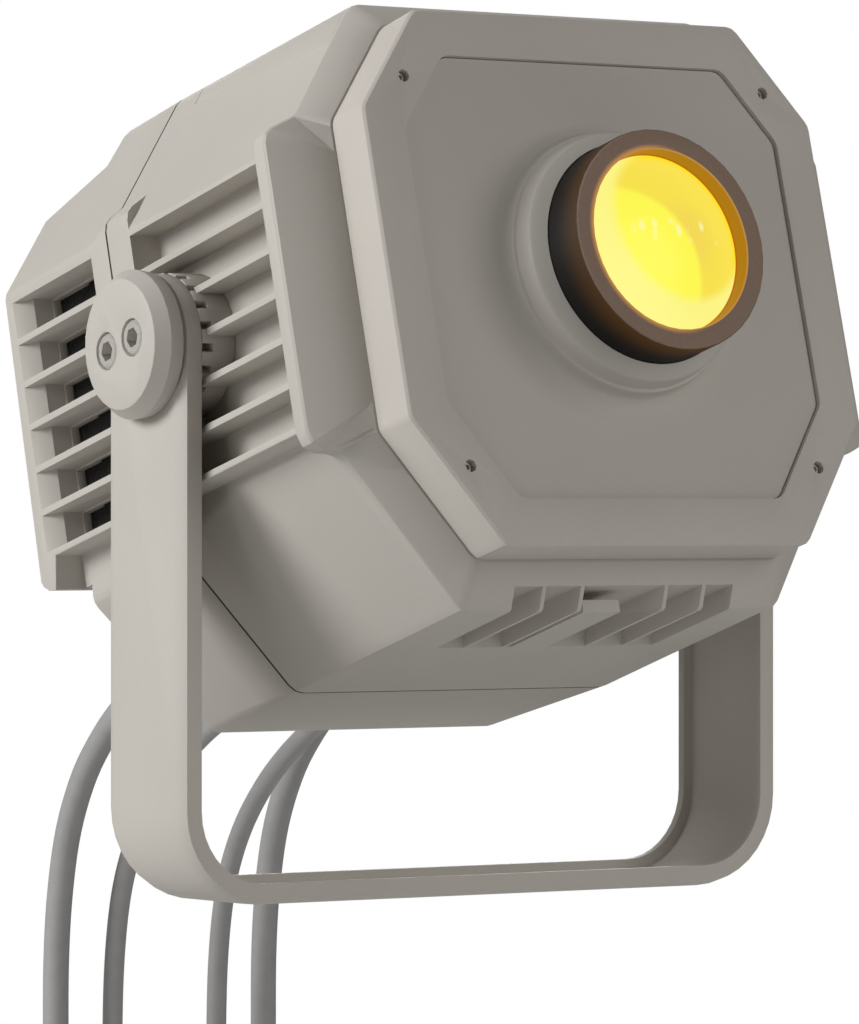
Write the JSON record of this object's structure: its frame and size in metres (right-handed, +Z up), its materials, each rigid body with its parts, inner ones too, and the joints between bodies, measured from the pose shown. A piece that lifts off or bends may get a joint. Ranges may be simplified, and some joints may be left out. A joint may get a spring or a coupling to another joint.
{
  "type": "outdoor image projector luminaire",
  "caption": "Outdoor LED image projector: finned octagonal head with a round amber lens, tilting on toothed hubs in a U-shaped yoke, with sealed cable pigtails.",
  "frame": {"origin": "middle of the flat underside of the yoke's bar", "axes": "+Z up, +X along the tilt axis towards the right arm seen from the front, the lens looks towards -Y"},
  "size_m": [0.355, 0.441, 0.6233],
  "materials": {
    "powder_coat": "fine-textured powder coat",
    "black_anodised": "matte black anodised",
    "stainless": "satin",
    "aluminium": "mill",
    "rubber": "matte",
    "black_plastic": "moulded",
    "grey_cable": "satin jacket",
    "clear_glass": "polished",
    "amber_glass": "polished",
    "circuit_board": "solder mask",
    "led_face": "phosphor"
  },
  "bodies": {
    "yoke": {"yoke_bracket": "powder_coat", "data_cable_in": "grey_cable", "data_cable_out": "grey_cable", "mains_cable_in": "grey_cable", "mains_cable_out": "grey_cable", "data_connector_in": "black_plastic", "data_connector_out": "black_plastic", "mains_connector_in": "black_plastic", "mains_connector_out": "black_plastic"},
    "head": {"barrel_seal": "rubber", "bezel_gasket": "rubber", "bezel_screw_1": "stainless", "bezel_screw_2": "stainless", "bezel_screw_3": "stainless", "bezel_screw_4": "stainless", "clamp_disc_left": "powder_coat", "clamp_disc_right": "powder_coat", "clamp_screw_left_front": "stainless", "clamp_screw_left_rear": "stainless", "clamp_screw_right_front": "stainless", "clamp_screw_right_rear": "stainless", "condenser_holder": "black_anodised", "condenser_lens": "clear_glass", "data_gland_in": "black_plastic", "data_gland_out": "black_plastic", "driver_board": "circuit_board", "fan_housing": "black_plastic", "focus_actuator": "black_plastic", "front_bezel": "powder_coat", "front_housing": "powder_coat", "front_panel": "powder_coat", "gobo_motor": "black_plastic", "guide_rod_left": "stainless", "guide_rod_right": "stainless", "heat_sink": "aluminium", "intake_mesh_left": "black_plastic", "intake_mesh_right": "black_plastic", "led_board": "led_face", "lens_barrel": "black_anodised", "lens_glass": "amber_glass", "lens_ring": "black_anodised", "mains_gland_in": "black_plastic", "mains_gland_out": "black_plastic", "optics_chassis": "aluminium", "power_supply": "black_plastic", "pressure_vent": "black_plastic", "rear_cover": "powder_coat", "seam_gasket": "rubber", "service_cover": "powder_coat", "tilt_hub_left": "powder_coat", "tilt_hub_right": "powder_coat"},
    "gobo_carousel": {"gobo_wheel": "aluminium", "gobo_1": "clear_glass", "gobo_2": "clear_glass", "gobo_3": "clear_glass", "gobo_4": "clear_glass"},
    "focus_stage": {"focus_carriage": "aluminium", "focus_lens": "clear_glass"},
    "fan": {"fan_rotor": "black_plastic"}
  },
  "joints": [
    {"name": "tilt", "type": "hinge", "parent": "yoke", "child": "head", "pos_m": [0, 0, 0.2467], "axis": [-1, 0, 0], "range_deg": [-105, 75], "deforming": ["data_cable_in", "data_cable_out", "mains_cable_in", "mains_cable_out"]},
    {"name": "gobo_spin", "type": "hinge", "parent": "head", "child": "gobo_carousel", "pos_m": [0, -0.03554, 0.21067], "axis": [0, -0.9659, 0.2588], "continuous": true},
    {"name": "focus_slide", "type": "slide", "parent": "head", "child": "focus_stage", "axis": [0, -0.9659, 0.2588], "range_m": [-0.01, 0.01]},
    {"name": "fan_spin", "type": "hinge", "parent": "head", "child": "fan", "pos_m": [0, 0.07948, 0.20988], "axis": [0, -0.9659, 0.2588], "continuous": true}
  ]
}
